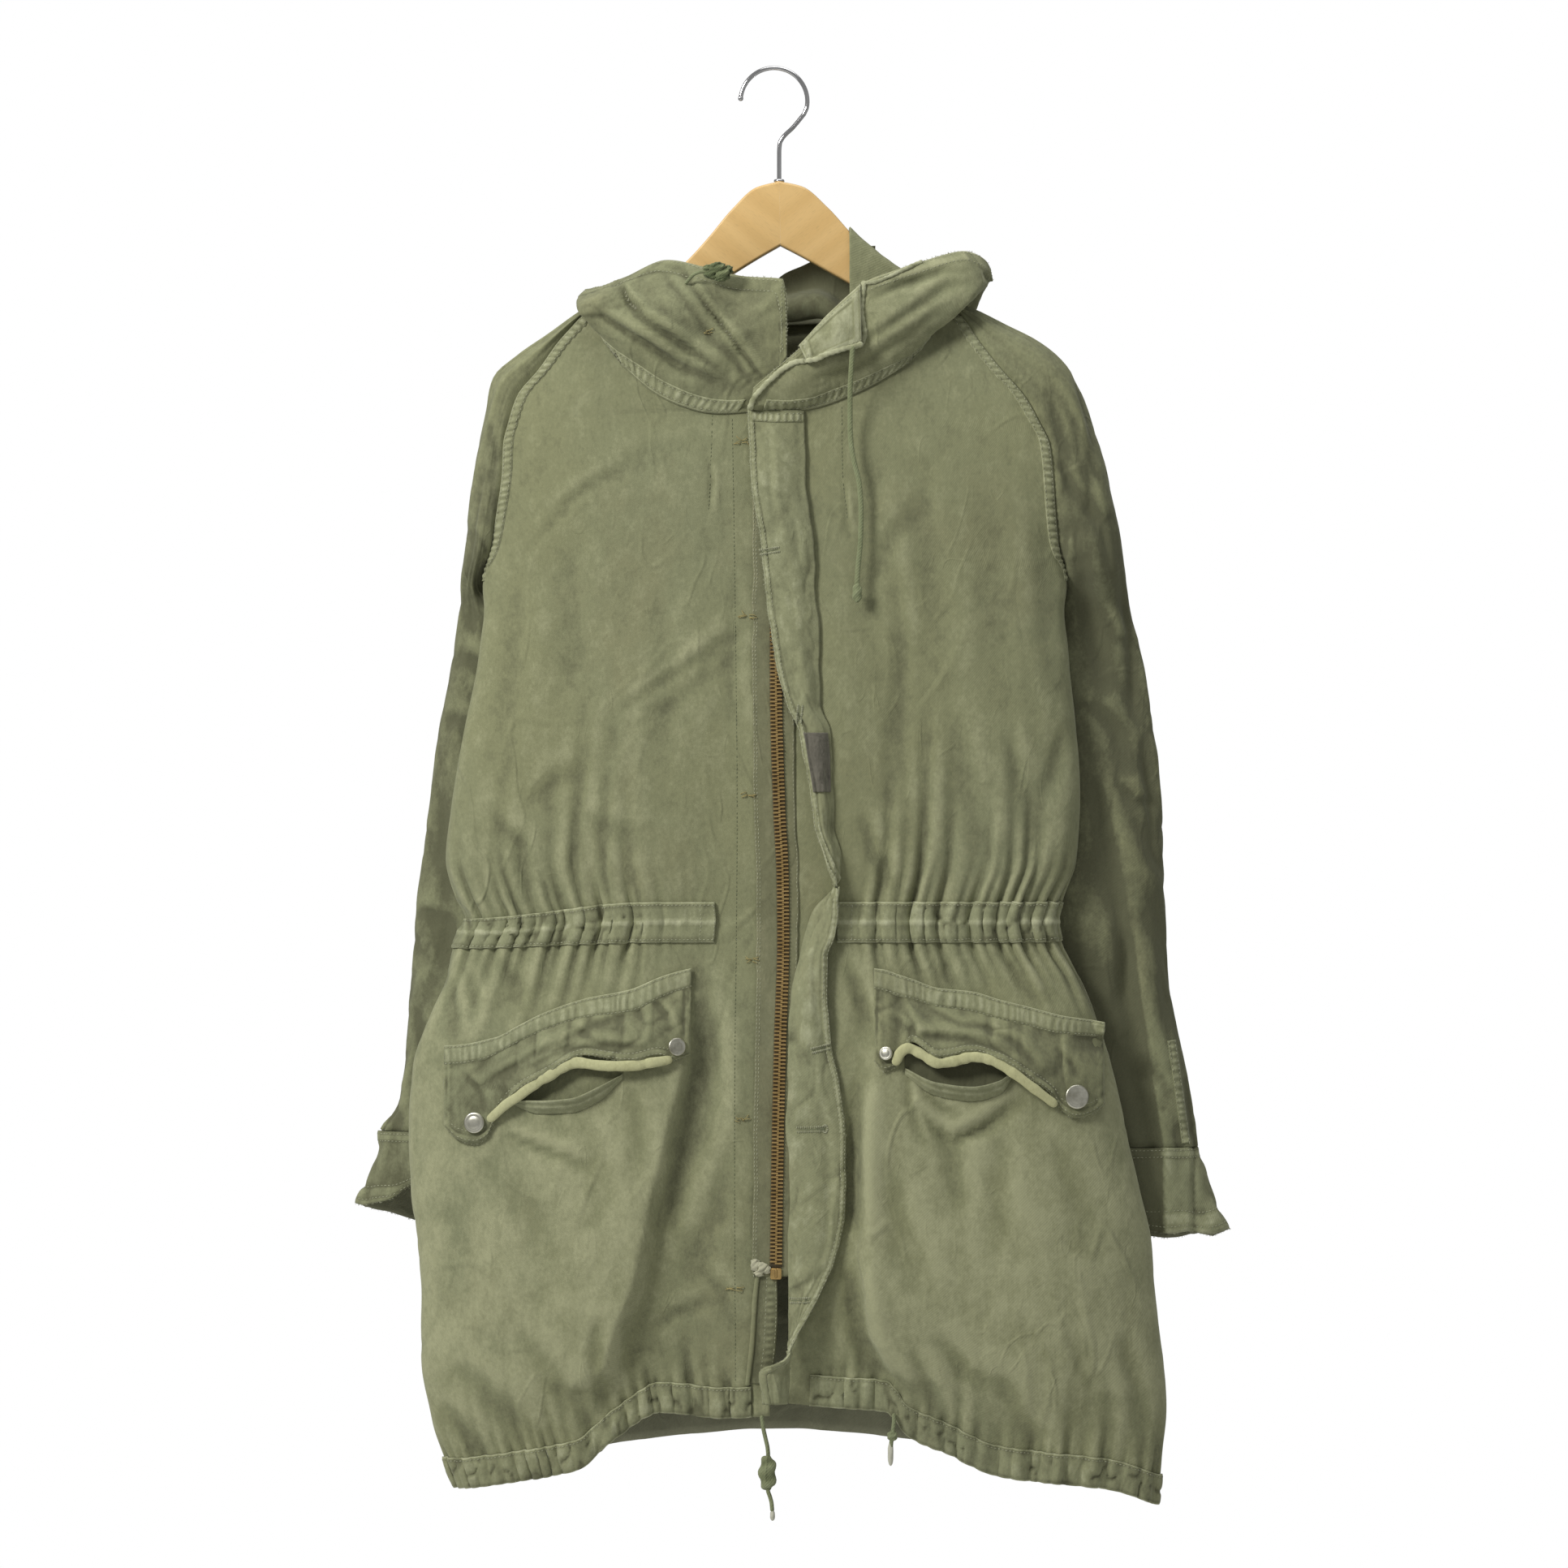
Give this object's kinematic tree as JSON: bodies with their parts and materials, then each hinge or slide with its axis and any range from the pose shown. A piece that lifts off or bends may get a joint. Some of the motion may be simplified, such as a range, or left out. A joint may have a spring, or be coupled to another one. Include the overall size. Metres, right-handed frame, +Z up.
{
  "type": "hooded field jacket on a hanger",
  "caption": "Hooded olive field jacket with raglan sleeves, zip under a fly flap, drawn-in waist, flap pockets and hem cords, hung on a wooden hanger with a wire hook",
  "frame": {"origin": "inside top of the hanger's hook, where the rail bears", "axes": "+Z up, the jacket's front faces -Y, +X is the wearer's left"},
  "size_m": [0.759, 0.1394, 1.2596],
  "materials": {
    "cloth": "washed cotton twill",
    "cloth_light": "faded cotton twill",
    "tape": "woven zip tape",
    "zip_metal": "satin",
    "snap_metal": "worn plating",
    "hook_metal": "polished",
    "hanger_wood": "clear lacquer",
    "cord": "braided",
    "piping": "faded",
    "hook_pile": "hook and loop",
    "cord_tip": "heat-sealed end"
  },
  "bodies": {
    "root": {"back": "cloth", "cuff_left": "cloth_light", "cuff_right": "cloth_light", "fly_flap": "cloth_light", "fly_patch": "hook_pile", "front_left": "cloth", "front_right": "cloth", "hanger_arm_left": "hanger_wood", "hanger_arm_right": "hanger_wood", "hem_casing_back": "cloth_light", "hem_casing_left": "cloth_light", "hem_casing_right": "cloth_light", "hem_cord_left": "cord", "hem_cord_left_knot": "cord", "hem_cord_left_tip": "cord_tip", "hem_cord_right": "cord", "hem_cord_right_knot": "cord", "hem_cord_right_tip": "cord_tip", "hem_tail_right": "cord", "hood_cord": "cord", "hood_cord_knot": "cord", "hood_fold_left": "cloth", "hood_left": "cloth", "hood_right": "cloth", "hood_tie": "cord", "hook": "hook_metal", "pocket_band_left": "cloth_light", "pocket_band_right": "cloth_light", "pocket_flap_left": "cloth", "pocket_flap_right": "cloth", "pocket_lip_left": "cloth_light", "pocket_lip_right": "cloth_light", "pocket_piping_left": "piping", "pocket_piping_right": "piping", "sleeve_left": "cloth", "sleeve_right": "cloth", "snap_left_inner": "snap_metal", "snap_left_outer": "snap_metal", "snap_right_inner": "snap_metal", "snap_right_outer": "snap_metal", "throat_tab_left": "cloth_light", "tie_cord": "cord", "waist_casing_back": "cloth_light", "waist_casing_left": "cloth_light", "waist_casing_right": "cloth_light", "zip_bottom_box": "zip_metal", "zip_chain": "zip_metal", "zip_slider": "zip_metal", "zip_tape_left": "tape", "zip_tape_right": "tape"}
  },
  "joints": []
}
